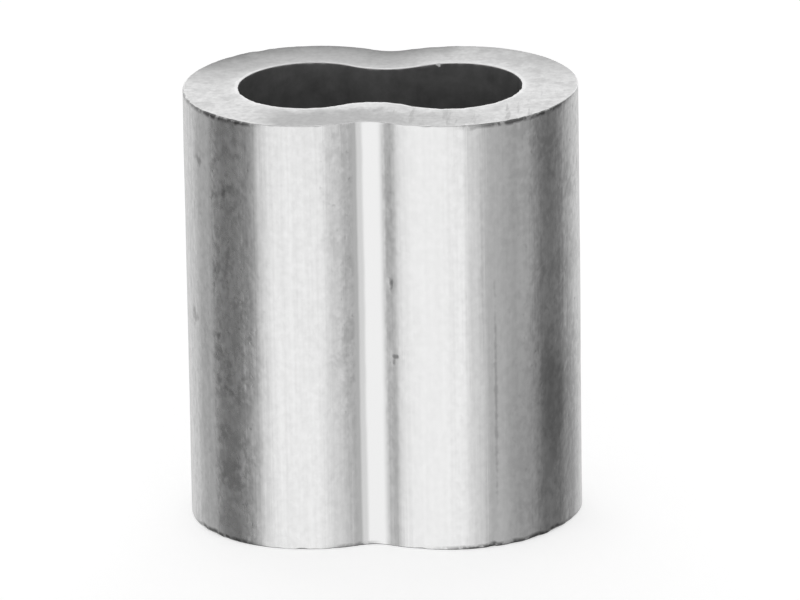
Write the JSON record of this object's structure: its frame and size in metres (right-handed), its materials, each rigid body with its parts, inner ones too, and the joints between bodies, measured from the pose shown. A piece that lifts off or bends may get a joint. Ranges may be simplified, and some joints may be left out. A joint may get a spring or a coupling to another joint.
{
  "type": "wire rope crimp sleeve",
  "caption": "Hourglass aluminium crimp sleeve for 6 mm wire rope, standing on its end: two joined barrels with an even wall and a hollow down each broad side.",
  "frame": {"origin": "centre of the bottom end face", "axes": "+Z along the barrels, +X through the axes of both barrels, +Y out of one broad side"},
  "size_m": [0.0188, 0.012, 0.0212],
  "materials": {
    "aluminium": "satin, drawn, with fine lines along its length"
  },
  "bodies": {
    "root": {"sleeve": "aluminium"}
  },
  "joints": []
}
